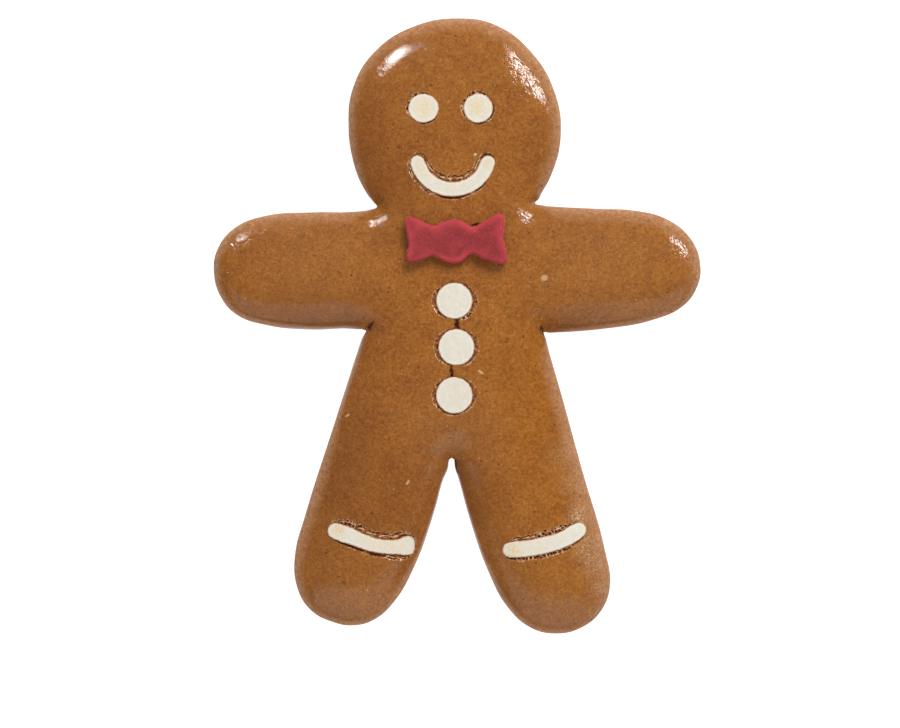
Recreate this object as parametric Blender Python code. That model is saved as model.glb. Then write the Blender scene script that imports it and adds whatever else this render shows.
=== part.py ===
"""Gingerbread man cookie.

One slab of risen dough in the traditional figure's outline, with white sugar-paste
eyes, smile, buttons and ankle bands set into its face, and a fondant bow tie on top.

The cookie lies on its flat back with the decorated face up (+Z) and the head towards
+Y. The origin is under the middle of the outline, on the surface it lies on.
"left" and "right" are those of someone who looks down at the face.

Lengths are written in millimetres and turned to metres by MM where a mesh is made.
"""

import math

import bmesh
import bpy
from mathutils import Vector

MM = 0.001

# --- driving dimensions, mm -------------------------------------------------------
BASE_INSET = 1.6          # the flat back is this much smaller than the outline, all round
UNDERSIDE_HEIGHT = 3.2    # from the flat back up to the widest level
SIDE_HEIGHT = 0.8         # upright band at the widest level
SHOULDER_WIDTH = 12.0     # the rounded shoulder is a quarter ellipse this wide ...
SHOULDER_RISE = 5.2       # ... and this high
FACE_INSET = 8.5          # the shoulder meets the nearly flat face this far in
CLEARANCE = 0.3           # gap between an inlay or the bow tie and the dough
INLAY_PROUD = 0.35        # inlays stand this much above the dough
INLAY_DEPTH = 1.3         # and reach this far down into it
RIM_RADIUS = 0.3          # soft edge of an inlay
BOW_THICKNESS = 2.3
BOW_RIM_RADIUS = 0.4

SIDE_LEVEL = UNDERSIDE_HEIGHT + SIDE_HEIGHT
UNDERSIDE_ANGLES = (35, 62, 90)             # degrees along the underside's quarter ellipse
SHOULDER_STEPS = 5
EASING_ROUNDS = 8         # how often a shoulder ring is evened out

# --- outline of the dough, mm from the middle, anticlockwise from the crown ---------
HEAD_LEFT = [(1.0, 75.0), (-10.7, 73.0), (-20.4, 66.6), (-25.5, 57.8), (-26.5, 49.5),
             (-25.2, 39.6), (-22.3, 32.7)]
NECK_LEFT = [(-20.4, 30.2), (-19.6, 29.1), (-21.1, 28.4)]
ARM_LEFT = [(-24.5, 27.9), (-36.0, 27.7), (-46.5, 26.9), (-54.1, 24.0), (-58.5, 18.6),
            (-59.3, 13.0), (-57.8, 7.4), (-54.0, 2.9), (-46.5, 0.2), (-36.0, -0.9)]
ARMPIT_LEFT = [(-24.6, -0.8), (-22.4, -1.3), (-23.3, -3.4)]
LEG_LEFT = [(-30.2, -24.6), (-37.2, -46.6), (-39.5, -55.5), (-39.2, -63.0),
            (-36.0, -69.0), (-30.0, -72.3), (-25.2, -73.0), (-20.4, -71.7), (-15.5, -67.4),
            (-10.4, -58.6), (-5.7, -45.7)]
CROTCH = [(-2.6, -34.8), (-1.3, -32.1), (-0.6, -33.9)]
LEG_RIGHT = [(3.5, -48.4), (8.0, -60.8), (12.2, -68.4), (17.8, -73.5),
             (24.0, -75.0), (30.4, -73.5), (35.2, -69.3), (37.3, -63.2), (36.1, -54.8),
             (30.7, -35.8), (25.4, -16.6)]
ARMPIT_RIGHT = [(21.7, -3.9), (21.0, -1.5), (22.9, -1.6)]
ARM_RIGHT = [(37.5, -0.5), (47.5, 1.4), (55.0, 4.8), (58.6, 9.7),
             (59.3, 15.0), (57.0, 21.2), (51.0, 26.1), (43.5, 28.1), (34.0, 28.6),
             (24.0, 29.1)]
NECK_RIGHT = [(20.9, 29.4), (18.9, 30.0), (20.0, 31.6)]
HEAD_RIGHT = [(23.0, 36.9), (25.3, 46.5), (23.8, 57.0), (17.9, 67.0), (9.6, 73.3)]
OUTLINE = (HEAD_LEFT + NECK_LEFT + ARM_LEFT + ARMPIT_LEFT + LEG_LEFT + CROTCH + LEG_RIGHT
           + ARMPIT_RIGHT + ARM_RIGHT + NECK_RIGHT + HEAD_RIGHT)
OUTLINE_RESOLUTION = 4    # points per stretch between two anchors

# --- inlays, mm ---------------------------------------------------------------------
# name: centre x, centre y, half width, half height
DISCS = {
    "eye_left": (-8.2, 52.9, 3.75, 3.55),
    "eye_right": (5.1, 52.9, 3.6, 3.6),
    "button_top": (-0.7, 6.1, 4.45, 4.45),
    "button_middle": (-0.2, -5.2, 4.45, 4.45),
    "button_bottom": (-0.7, -16.9, 4.5, 4.5),
}
DISC_SEGMENTS = 24

SMILE_CENTRE = (-1.1, 42.1)
SMILE_RADIUS = 8.9        # to the middle of the band
SMILE_WIDTH = 3.6
SMILE_START = 196         # degrees, where the band's left end has its centre
SMILE_END = 344

# Middle line of each ankle band with the band's half width there: x, y, half width
ANKLE_BAND_LEFT = [(-29.6, -49.9, 2.0), (-24.9, -51.6, 1.9), (-21.1, -53.1, 1.8),
                   (-17.4, -53.8, 1.85), (-14.2, -53.9, 2.1), (-11.9, -53.6, 2.35)]
ANKLE_BAND_RIGHT = [(12.9, -54.5, 1.9), (17.5, -54.1, 2.0), (21.8, -53.2, 2.1),
                    (25.2, -52.2, 2.0), (28.2, -50.6, 2.05), (29.6, -49.7, 1.9)]
BAND_END_REACH = {"ankle_band_left": 0.6}   # how far the far end stands out, in half widths
BAND_SLICES = 9           # cuts across a band, so that it can bend over the shoulder

# --- bow tie, mm ----------------------------------------------------------------------
BOW_TIE = [(-12.3, 26.3), (-11.6, 26.7), (-5.6, 24.3), (-3.0, 25.1), (-0.6, 25.9),
           (1.8, 25.2), (3.9, 24.1), (10.0, 27.3), (11.4, 26.6), (11.3, 23.6),
           (11.1, 21.2), (12.2, 16.8), (11.8, 15.6), (10.7, 15.1), (3.4, 17.6),
           (1.6, 15.9), (-0.8, 15.2), (-3.4, 15.8), (-5.6, 16.9), (-10.6, 15.4),
           (-11.9, 15.7), (-12.3, 17.2), (-11.8, 19.6), (-12.2, 22.0)]


# --- helpers ----------------------------------------------------------------------------
def clear_scene():
    """Remove every object that the file started with."""
    for thing in list(bpy.data.objects):
        bpy.data.objects.remove(thing, do_unlink=True)


def make_material(name, colour, roughness, coat=0.0):
    """Return a Principled material of a linear colour."""
    material = bpy.data.materials.new(name)
    material.use_nodes = True
    shader = material.node_tree.nodes["Principled BSDF"]
    shader.inputs["Base Color"].default_value = (*colour, 1.0)
    shader.inputs["Roughness"].default_value = roughness
    shader.inputs["Metallic"].default_value = 0.0
    shader.inputs["Coat Weight"].default_value = coat
    material.diffuse_color = (*colour, 1.0)
    return material


def add_object(name, bm, collection, material=None):
    """Turn a bmesh into a named object with outward faces."""
    bmesh.ops.recalc_face_normals(bm, faces=bm.faces)
    mesh = bpy.data.meshes.new(name)
    bm.to_mesh(mesh)
    bm.free()
    piece = bpy.data.objects.new(name, mesh)
    collection.objects.link(piece)
    if material is not None:
        mesh.materials.append(material)
    mesh.shade_smooth()
    mesh.set_sharp_from_angle(angle=math.radians(35))
    return piece


def flat_face(anchors, resolution):
    """Return a bmesh with one n-gon at z = 0, bounded by a closed curve through anchors."""
    curve = bpy.data.curves.new("outline", "CURVE")
    curve.dimensions = "2D"
    curve.fill_mode = "BOTH"
    curve.resolution_u = resolution
    spline = curve.splines.new("BEZIER")
    spline.bezier_points.add(len(anchors) - 1)
    spline.use_cyclic_u = True
    for point, (x, y) in zip(spline.bezier_points, anchors):
        point.co = (x * MM, y * MM, 0.0)
        point.handle_left_type = "AUTO"
        point.handle_right_type = "AUTO"
    drawing = bpy.data.objects.new("outline", curve)
    bpy.context.scene.collection.objects.link(drawing)
    depsgraph = bpy.context.evaluated_depsgraph_get()
    filled = bpy.data.meshes.new_from_object(drawing.evaluated_get(depsgraph))
    bm = bmesh.new()
    bm.from_mesh(filled)
    bmesh.ops.remove_doubles(bm, verts=bm.verts, dist=0.00001)
    bmesh.ops.dissolve_faces(bm, faces=list(bm.faces))
    bpy.data.objects.remove(drawing, do_unlink=True)
    bpy.data.meshes.remove(filled)
    return bm


def thicken(bm, bottom, top):
    """Make the bmesh's one flat face a closed slab from bottom to top, mm."""
    for vert in bm.verts:
        vert.co.z = bottom * MM
    made = bmesh.ops.extrude_face_region(bm, geom=list(bm.faces))["geom"]
    for vert in (item for item in made if isinstance(item, bmesh.types.BMVert)):
        vert.co.z = top * MM
    bmesh.ops.recalc_face_normals(bm, faces=bm.faces)


def cap_face(bm, up):
    """Return the slab's level face at its top (up) or at its bottom."""
    level = [face for face in bm.faces if abs(face.normal.z) > 0.999]
    heights = {face: face.calc_center_median().z for face in level}
    return max(heights, key=heights.get) if up else min(heights, key=heights.get)


def round_top_rim(bm, radius):
    """Round the edge between the top face and the wall."""
    bmesh.ops.bevel(bm, geom=list(cap_face(bm, up=True).edges), offset=radius * MM,
                    segments=2, profile=0.5, affect="EDGES", clamp_overlap=True)


# --- the dough ----------------------------------------------------------------------------
def shoulder_height(inset):
    """Height of the shoulder above the side at a distance inside the outline, mm."""
    across = 1.0 - min(inset, FACE_INSET) / SHOULDER_WIDTH
    return SHOULDER_RISE * math.sqrt(max(0.0, 1.0 - across * across))


FACE_LEVEL = SIDE_LEVEL + shoulder_height(FACE_INSET)


def build_dough_slab():
    """Raise the outline to a slab with a rounded underside and a wide soft shoulder."""
    bm = flat_face(OUTLINE, OUTLINE_RESOLUTION)
    rim = [vert.co.xy / MM for vert in list(bm.faces)[0].verts]
    thicken(bm, UNDERSIDE_HEIGHT, SIDE_LEVEL)

    back = cap_face(bm, up=False)
    inset = 0.0
    for angle in UNDERSIDE_ANGLES:
        turn = math.radians(angle)
        next_inset = BASE_INSET * (1.0 - math.cos(turn))
        bmesh.ops.inset_region(bm, faces=[back], thickness=(next_inset - inset) * MM,
                               use_even_offset=True)
        for vert in back.verts:
            vert.co.z = UNDERSIDE_HEIGHT * (1.0 - math.sin(turn)) * MM
        inset = next_inset

    face = cap_face(bm, up=True)
    inset = 0.0
    last_turn = math.acos(1.0 - FACE_INSET / SHOULDER_WIDTH)
    for step in range(1, SHOULDER_STEPS + 1):
        next_inset = SHOULDER_WIDTH * (1.0 - math.cos(last_turn * step / SHOULDER_STEPS))
        bmesh.ops.inset_region(bm, faces=[face], thickness=(next_inset - inset) * MM,
                               use_even_offset=True)
        inset = next_inset
        settle_ring(face, inset, rim)
        for vert in face.verts:
            vert.co.z = (SIDE_LEVEL + shoulder_height(inset)) * MM
    return bm, rim


def settle_ring(face, inset, rim):
    """Space a face's corners evenly, all at one distance inside the outline."""
    corners = list(face.verts)
    for _ in range(EASING_ROUNDS):
        places = [corner.co.xy / MM for corner in corners]
        middles = [(before + after) / 2
                   for before, after in zip(places[-1:] + places[:-1], places[1:] + places[:1])]
        for corner, place, middle in zip(corners, places, middles):
            eased = (place + middle) / 2
            foot = nearest_on_outline(eased, rim)
            corner.co.xy = (foot + (eased - foot).normalized() * inset) * MM


def nearest_on_outline(point, rim):
    """Return the outline's nearest point, mm."""
    feet = []
    for start, end in zip(rim, rim[1:] + rim[:1]):
        along = end - start
        share = max(0.0, min(1.0, (point - start).dot(along) / along.length_squared))
        feet.append(start + share * along)
    return min(feet, key=lambda foot: (foot - point).length_squared)


def drape(bm, rim):
    """Lower a slab made level with the dough's face so that it follows the shoulder."""
    for vert in bm.verts:
        place = vert.co.xy / MM
        inside = (place - nearest_on_outline(place, rim)).length
        vert.co.z += (SIDE_LEVEL + shoulder_height(inside) - FACE_LEVEL) * MM


# --- inlays ---------------------------------------------------------------------------------
def disc_slab(disc, grow, bottom, top):
    """A round slab, grown on all sides, between two heights above the face."""
    x, y, half_width, half_height = disc
    bm = bmesh.new()
    bmesh.ops.create_cone(bm, cap_ends=True, segments=DISC_SEGMENTS, radius1=1.0, radius2=1.0,
                          depth=(top - bottom) * MM)
    for vert in bm.verts:
        vert.co.x = (x + vert.co.x * (half_width + grow)) * MM
        vert.co.y = (y + vert.co.y * (half_height + grow)) * MM
        vert.co.z += (FACE_LEVEL + (bottom + top) / 2) * MM
    return bm


def band_anchors(middle_line, grow, far_reach):
    """Closed outline of a band: its two sides, a round near end and a far end."""
    points = [Vector((x, y)) for x, y, _ in middle_line]
    widths = [half_width + grow for _, _, half_width in middle_line]
    ahead = points[1:] + points[-1:]
    behind = points[:1] + points[:-1]
    forward = [(a - b).normalized() for a, b in zip(ahead, behind)]
    side = [Vector((-f.y, f.x)) for f in forward]
    left = [p + s * w for p, s, w in zip(points, side, widths)]
    right = [p - s * w for p, s, w in zip(points, side, widths)]
    far_end = end_arc(points[-1], forward[-1], side[-1], widths[-1], far_reach)
    near_end = end_arc(points[0], -forward[0], -side[0], widths[0], 1.0)
    return [tuple(p) for p in right + far_end + left[::-1] + near_end]


def end_arc(centre, forward, side, half_width, reach):
    """Points round a band's end: a half circle at reach 1, squarer where it reaches less."""
    fullness = 0.5 + 0.5 * reach
    points = []
    for angle in (45, 90, 135):
        ahead = math.sin(math.radians(angle)) ** fullness * reach
        across = math.cos(math.radians(angle))
        across = math.copysign(abs(across) ** fullness, across)
        points.append(centre + (forward * ahead - side * across) * half_width)
    return points


def band_slab(middle_line, grow, far_reach, bottom, top, rim):
    """A band between two heights above the dough, bent over its shoulder."""
    bm = flat_face(band_anchors(middle_line, grow, far_reach), 2)
    thicken(bm, FACE_LEVEL + bottom, FACE_LEVEL + top)
    if top < 1.0:
        round_top_rim(bm, RIM_RADIUS)
    slice_across(bm)
    drape(bm, rim)
    return bm


def slice_across(bm):
    """Cut a slab's long faces into strips across X."""
    low = min(vert.co.x for vert in bm.verts)
    high = max(vert.co.x for vert in bm.verts)
    for cut in range(1, BAND_SLICES):
        place = low + (high - low) * cut / BAND_SLICES
        everything = bm.verts[:] + bm.edges[:] + bm.faces[:]
        bmesh.ops.bisect_plane(bm, geom=everything, plane_co=(place, 0, 0),
                               plane_no=(1, 0, 0), dist=0.00001)


def smile_line():
    """Middle line of the smile: an arc below its centre."""
    stations = 9
    line = []
    for station in range(stations):
        angle = math.radians(SMILE_START + (SMILE_END - SMILE_START) * station / (stations - 1))
        line.append((SMILE_CENTRE[0] + SMILE_RADIUS * math.cos(angle),
                     SMILE_CENTRE[1] + SMILE_RADIUS * math.sin(angle), SMILE_WIDTH / 2))
    return line


def build_inlays(parts, cutters, paste, rim):
    """Make every sugar-paste inlay and return the cutters of their pockets."""
    pockets = []
    pocket_floor = -INLAY_DEPTH - CLEARANCE
    pocket_mouth = 3.0
    for name, disc in DISCS.items():
        bm = disc_slab(disc, 0.0, -INLAY_DEPTH, INLAY_PROUD)
        round_top_rim(bm, RIM_RADIUS)
        add_object(name, bm, parts, paste)
        cutter = disc_slab(disc, CLEARANCE, pocket_floor, pocket_mouth)
        pockets.append(add_object("pocket_" + name, cutter, cutters))
    bands = {"smile": smile_line(), "ankle_band_left": ANKLE_BAND_LEFT,
             "ankle_band_right": ANKLE_BAND_RIGHT}
    for name, line in bands.items():
        reach = BAND_END_REACH.get(name, 1.0)
        bm = band_slab(line, 0.0, reach, -INLAY_DEPTH, INLAY_PROUD, rim)
        add_object(name, bm, parts, paste)
        cutter = band_slab(line, CLEARANCE, reach, pocket_floor, pocket_mouth, rim)
        pockets.append(add_object("pocket_" + name, cutter, cutters))
    for pocket in pockets:
        pocket.hide_render = True
        pocket.display_type = "WIRE"
    return pockets


def build_bow_tie(parts, fondant):
    """Lay the fondant bow tie on the face."""
    bm = flat_face(BOW_TIE, 2)
    thicken(bm, FACE_LEVEL + CLEARANCE, FACE_LEVEL + CLEARANCE + BOW_THICKNESS)
    round_top_rim(bm, BOW_RIM_RADIUS)
    add_object("bow_tie", bm, parts, fondant)


def main():
    """Build the cookie."""
    clear_scene()
    parts = bpy.data.collections.new("gingerbread_man_cookie")
    cutters = bpy.data.collections.new("cutters")
    bpy.context.scene.collection.children.link(parts)
    bpy.context.scene.collection.children.link(cutters)

    crust = make_material("glazed_gingerbread", (0.36, 0.13, 0.032), 0.35, coat=0.6)
    paste = make_material("sugar_paste", (0.83, 0.77, 0.64), 0.6)
    fondant = make_material("pink_fondant", (0.50, 0.045, 0.075), 0.55)

    slab, rim = build_dough_slab()
    dough = add_object("gingerbread", slab, parts, crust)
    for pocket in build_inlays(parts, cutters, paste, rim):
        cut = dough.modifiers.new("cut_" + pocket.name, "BOOLEAN")
        cut.operation = "DIFFERENCE"
        cut.object = pocket
        cut.solver = "EXACT"
    build_bow_tie(parts, fondant)


main()
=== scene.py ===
"""Gingerbread man cookie, lying face up.

A slab of glazed dough carries pressed-in sugar paste (eyes, smile, buttons and ankle bands)
and a bow tie of pink fondant.  Sizes are in millimetres; meshes are in metres.
"""

import logging
import math
from collections.abc import Callable
from dataclasses import dataclass
from enum import Enum
from functools import partial

import bmesh
import bpy
import numpy as np
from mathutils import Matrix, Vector
from mathutils.kdtree import KDTree


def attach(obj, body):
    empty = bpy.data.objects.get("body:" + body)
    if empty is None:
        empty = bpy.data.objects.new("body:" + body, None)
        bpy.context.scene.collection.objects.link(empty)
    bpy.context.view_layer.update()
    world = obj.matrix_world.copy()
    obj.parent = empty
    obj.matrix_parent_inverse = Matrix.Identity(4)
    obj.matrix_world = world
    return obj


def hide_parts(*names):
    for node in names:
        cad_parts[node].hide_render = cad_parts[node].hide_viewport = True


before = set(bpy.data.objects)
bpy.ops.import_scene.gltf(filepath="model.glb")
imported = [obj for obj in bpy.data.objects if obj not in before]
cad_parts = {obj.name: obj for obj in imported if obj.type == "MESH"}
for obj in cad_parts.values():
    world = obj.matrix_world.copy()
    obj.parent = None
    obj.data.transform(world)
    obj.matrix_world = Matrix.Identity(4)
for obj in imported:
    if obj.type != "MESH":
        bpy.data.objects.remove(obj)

MM = 0.001
# beyond this many millimetres an icing leaves the dough alone
BESIDE = 4.0
BODY = "root"
log = logging.getLogger("gingerbread")

Array = np.ndarray
Pairs = tuple[tuple[float, float], ...]
Piece = bpy.types.Object
Material = bpy.types.Material
Socket = bpy.types.NodeSocket
Tree = bpy.types.NodeTree


# ---- small tools


def linear(colour: str) -> tuple[float, float, float, float]:
    """Turns an sRGB hex colour into the linear values that a shader takes.

    Args:
        colour: Six hex digits after a hash sign.

    Returns:
        Red, green, blue and a full alpha.
    """
    parts = [int(colour[i : i + 2], 16) / 255 for i in (1, 3, 5)]
    red, green, blue = (p / 12.92 if p <= 0.04045 else ((p + 0.055) / 1.055) ** 2.4 for p in parts)
    return red, green, blue, 1.0


def ramp(low: float, high: float, values: Array) -> Array:
    """Rises smoothly from 0 at `low` to 1 at `high`."""
    t = np.clip((values - low) / (high - low), 0.0, 1.0)
    return t * t * (3 - 2 * t)


def hump(places: Array, x: float, y: float, reach: float) -> Array:
    """A round bell of height 1 about a point, `reach` wide at three fifths of its height."""
    return np.exp(-((places - (x, y)) ** 2).sum(1) / (2 * reach**2))


def ridge(gap: Array, width: float) -> Array:
    """A ridge of height 1 along a line, from how far points are off it."""
    return np.exp(-((gap / width) ** 2))


@dataclass(frozen=True)
class Spot:
    """A soft round place on the face: its middle, how far it reaches and how strong it is."""

    x: float
    y: float
    reach: float
    amount: float


Spots = tuple[Spot, ...]


def each(kind: type, *rows: tuple[float, ...]) -> tuple:
    """Makes one thing of a kind from each row of its numbers."""
    return tuple(kind(*row) for row in rows)


def spotted(places: Array, spots: Spots) -> Array:
    """The strength of all the spots together at each point."""
    bells = (spot.amount * hump(places, spot.x, spot.y, spot.reach) for spot in spots)
    return sum(bells, np.zeros(len(places)))


def waves(places: Array, cell: float, seed: int) -> Array:
    """Smooth uneven ground on a plane, as rolled dough has.

    Args:
        places: Points as rows of x and y.
        cell: Distance between one swell and the next.
        seed: Which pattern.

    Returns:
        One height from about -1 to 1 for each point.
    """
    # the slopes repeat after `count` cells; the offset keeps cells positive
    count, offset, to_one = 64, 1000, 1.6
    slopes = np.random.default_rng(seed).normal(size=(count, count, 2))
    slopes /= np.linalg.norm(slopes, axis=2, keepdims=True)
    turn = 0.6 + seed
    spin = np.array(((math.cos(turn), -math.sin(turn)), (math.sin(turn), math.cos(turn))))
    grid = places @ spin / cell + offset
    corner = np.floor(grid).astype(int)
    part = grid - corner
    ease = part**3 * (part * (part * 6 - 15) + 10)
    total = np.zeros(len(places))
    for dx in (0, 1):
        for dy in (0, 1):
            slope = slopes[(corner[:, 0] + dx) % count, (corner[:, 1] + dy) % count]
            reach = ((part - (dx, dy)) * slope).sum(1)
            share_x = ease[:, 0] if dx else 1 - ease[:, 0]
            share_y = ease[:, 1] if dy else 1 - ease[:, 1]
            total += reach * share_x * share_y
    return total * to_one


def uneven(places: Array, *rows: tuple[float, float, int]) -> Array:
    """Waves of several sizes together, each row a height, a cell and a seed."""
    return sum((height * waves(places, cell, seed) for height, cell, seed in rows), np.zeros(len(places)))


def bubbles(places: Array, cell: float, seed: int) -> tuple[Array, Array]:
    """The open pores of torn crumb: how far each point is from a pore's middle and its wall.

    Args:
        places: Points as rows of x and y.
        cell: Mean distance between pores.
        seed: Which pattern.

    Returns:
        Distance to the nearest middle, and to the nearest wall, both in cells.
    """
    # the pores repeat after `count` cells; the offset keeps cells positive
    count, offset, far = 128, 500, 9.0
    shift = np.random.default_rng(seed).uniform(0.12, 0.88, size=(count, count, 2))
    grid = places / cell + offset
    corner = np.floor(grid).astype(int)
    nearest, second = np.full((2, len(places)), far)
    for dx in (-1, 0, 1):
        for dy in (-1, 0, 1):
            box = corner + (dx, dy)
            middle = box + shift[box[:, 0] % count, box[:, 1] % count]
            gap = np.linalg.norm(grid - middle, axis=1)
            second = np.minimum(second, np.maximum(nearest, gap))
            nearest = np.minimum(nearest, gap)
    return nearest, second - nearest


@dataclass(frozen=True)
class Foot:
    """Where points stand against an outline.

    Attributes:
        inset: Distance inside the outline, negative outside.
        spot: The nearest place on the outline.
        outward: Unit direction away from the shape there.
        along: Distance run along the outline to that place.
    """

    inset: Array
    spot: Array
    outward: Array
    along: Array


class Outline:
    """A closed line seen from above, rounded through its corners."""

    def __init__(self, corners: Array, spacing: float, sharp: Pairs = ()) -> None:
        """Rounds the line through `corners` and spaces its points evenly.

        Args:
            corners: Rows of x and y in order round the shape.
            spacing: Distance between the finished points.
            sharp: Notches; each draws the nearest corner into itself.
        """
        for notch in sharp:
            corners[np.linalg.norm(corners - notch, axis=1).argmin()] = notch
        x, y = corners.T
        if (x * np.roll(y, -1) - y * np.roll(x, -1)).sum() < 0:
            corners = corners[::-1]
        line = self._rounded(corners, cuts=12)
        step = np.linalg.norm(np.roll(line, -1, 0) - line, axis=1)
        run = np.concatenate(([0.0], np.cumsum(step)))
        length = float(run[-1])
        count = max(24, round(length / spacing))
        self.along = np.arange(count) * length / count
        closed = np.vstack((line, line[:1]))
        self.points = np.stack([np.interp(self.along, run, closed[:, k]) for k in (0, 1)], 1)
        ahead = np.roll(self.points, -1, 0) - np.roll(self.points, 1, 0)
        ahead /= np.linalg.norm(ahead, axis=1, keepdims=True)
        self.outward = np.stack((ahead[:, 1], -ahead[:, 0]), 1)
        self.tree = KDTree(count)
        for i, (px, py) in enumerate(self.points):
            self.tree.insert((px, py, 0.0), i)
        self.tree.balance()

    @staticmethod
    def _rounded(corners: Array, cuts: int) -> Array:
        """Runs a curve through every corner with no overshoot at sharp turns.

        Args:
            corners: Rows of x and y in order.
            cuts: Points on each stretch.

        Returns:
            The curve's points.
        """
        p0, p1, p2, p3 = (np.roll(corners, k, 0)[:, None] for k in (1, 0, -1, -2))
        t1 = np.sqrt(np.linalg.norm(p1 - p0, axis=2, keepdims=True))
        t2 = t1 + np.sqrt(np.linalg.norm(p2 - p1, axis=2, keepdims=True))
        t3 = t2 + np.sqrt(np.linalg.norm(p3 - p2, axis=2, keepdims=True))
        t = t1 + (t2 - t1) * (np.arange(cuts) / cuts)[None, :, None]
        a1 = ((t1 - t) * p0 + t * p1) / t1
        a2 = ((t2 - t) * p1 + (t - t1) * p2) / (t2 - t1)
        a3 = ((t3 - t) * p2 + (t - t2) * p3) / (t3 - t2)
        b1 = ((t2 - t) * a1 + t * a2) / t2
        b2 = ((t3 - t) * a2 + (t - t1) * a3) / (t3 - t1)
        return (((t2 - t) * b1 + (t - t1) * b2) / (t2 - t1)).reshape(-1, 2)

    def foot(self, places: Array) -> Foot:
        """Finds the nearest place on the outline for each point.

        Args:
            places: Points as rows of x and y.

        Returns:
            How each point stands against the outline.
        """
        near = np.array([self.tree.find((x, y, 0.0))[1] for x, y in places])
        count = len(self.points)
        best = np.full(len(places), np.inf)
        spot, outward = np.empty((2, len(places), 2))
        along = np.empty(len(places))
        for back in (0, -1):
            i = (near + back) % count
            j = (i + 1) % count
            span = self.points[j] - self.points[i]
            part = ((places - self.points[i]) * span).sum(1) / (span**2).sum(1)
            part = np.clip(part, 0, 1)[:, None]
            place = self.points[i] + span * part
            gap = np.linalg.norm(places - place, axis=1)
            nearer = gap < best
            best[nearer] = gap[nearer]
            spot[nearer] = place[nearer]
            facing = self.outward[i] * (1 - part) + self.outward[j] * part
            outward[nearer] = facing[nearer]
            along[nearer] = (self.along[i] + part[:, 0] * np.linalg.norm(span, axis=1))[nearer]
        outward /= np.linalg.norm(outward, axis=1, keepdims=True)
        inside = ((places - spot) * outward).sum(1) < 0
        return Foot(np.where(inside, best, -best), spot, outward, along)


# ---- mesh tools


def pick_only(piece: Piece) -> None:
    """Deselects everything, then selects one piece and makes it active.

    Args:
        piece: The one to select.
    """
    bpy.ops.object.select_all(action="DESELECT")
    piece.select_set(True)
    bpy.context.view_layer.objects.active = piece


def places_of(parts: bpy.types.bpy_prop_collection, what: str) -> Array:
    """Reads the places of a mesh's points or faces.

    Args:
        parts: The points or the faces.
        what: Blender's name for the place: "co" for a point, "center" for a face.

    Returns:
        The places in millimetres, one row each.
    """
    flat = np.empty(len(parts) * 3, np.float32)
    parts.foreach_get(what, flat)
    return flat.reshape(-1, 3).astype(float) / MM


def set_positions(piece: Piece, places: Array) -> None:
    """Moves the piece's points to places given in millimetres."""
    piece.data.vertices.foreach_set("co", (places * MM).astype(np.float32).ravel())
    piece.data.update()


def paint(piece: Piece, name: str, values: Array) -> None:
    """Stores one number for each point, for the material to read."""
    layer = piece.data.attributes.new(name, "FLOAT", "POINT")
    layer.data.foreach_set("value", values.astype(np.float32))


def node_outline(node: str, spacing: float, sharp: Pairs = ()) -> Outline:
    """Reads the outline of a CAD node from a merged copy of its mesh.

    The outline runs where the downward faces meet the upright wall.

    Args:
        node: The CAD node's name.
        spacing: Distance between the outline's points.
        sharp: Notches that are drawn in to a point.

    Returns:
        The node's outline, seen from above.
    """
    copy = bmesh.new()
    copy.from_mesh(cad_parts[node].data)
    bmesh.ops.remove_doubles(copy, verts=copy.verts, dist=1e-5)
    bmesh.ops.dissolve_degenerate(copy, edges=copy.edges, dist=1e-6)
    copy.normal_update()
    ways: dict[int, list[int]] = {}
    for edge in copy.edges:
        tilts = sorted(face.normal.z for face in edge.link_faces)
        if len(tilts) == 2 and tilts[0] < -0.1 and abs(tilts[1]) < 0.06:
            a, b = (v.index for v in edge.verts)
            ways.setdefault(a, []).append(b)
            ways.setdefault(b, []).append(a)
    copy.verts.ensure_lookup_table()
    start = min(ways)
    ring, before = [start], None
    while True:
        onward = [k for k in ways[ring[-1]] if k != before]
        before = ring[-1]
        if onward[0] == start or len(ring) > len(ways):
            break
        ring.append(onward[0])
    corners = np.array([copy.verts[k].co.xy for k in ring]) / MM
    copy.free()
    return Outline(corners, spacing, sharp)


def raise_slab(name: str, outline: Outline, height: float, grain: float) -> Piece:
    """Cuts a slab of even thickness to an outline and gives it an even grid of faces.

    Args:
        name: The new piece's name.
        outline: Its shape from above.
        height: Its thickness.
        grain: The size of its faces.

    Returns:
        The slab, its underside at height 0.
    """
    bpy.ops.object.select_all(action="DESELECT")
    bpy.ops.mesh.primitive_circle_add(vertices=len(outline.points), radius=10 * MM, fill_type="NGON")
    slab = bpy.context.active_object
    slab.name = slab.data.name = name
    flat = np.zeros((len(outline.points), 3))
    flat[:, :2] = outline.points
    set_positions(slab, flat)
    bpy.ops.object.mode_set(mode="EDIT")
    bpy.ops.mesh.select_all(action="SELECT")
    bpy.ops.mesh.extrude_region_move(TRANSFORM_OT_translate={"value": (0, 0, height * MM)})
    bpy.ops.mesh.select_all(action="SELECT")
    bpy.ops.mesh.normals_make_consistent(inside=False)
    bpy.ops.object.mode_set(mode="OBJECT")
    pick_only(slab)
    remesh = slab.modifiers.new("Even faces", "REMESH")
    remesh.mode = "VOXEL"
    remesh.voxel_size = grain * MM
    bpy.ops.object.modifier_apply(modifier=remesh.name)
    return slab


def edit_faces(piece: Piece, chosen: Array, tool: Callable[..., set[str]], **settings: object) -> None:
    """Works on chosen faces in edit mode.

    Args:
        piece: The object they are on.
        chosen: True for each face to work on.
        tool: The edit-mode operator.
        **settings: Its settings.
    """
    pick_only(piece)
    mesh = piece.data
    for part in (mesh.vertices, mesh.edges):
        part.foreach_set("select", np.zeros(len(part), bool))
    mesh.polygons.foreach_set("select", chosen)
    bpy.context.tool_settings.mesh_select_mode = (False, False, True)
    bpy.ops.object.mode_set(mode="EDIT")
    tool(**settings)
    bpy.ops.object.mode_set(mode="OBJECT")


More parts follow.
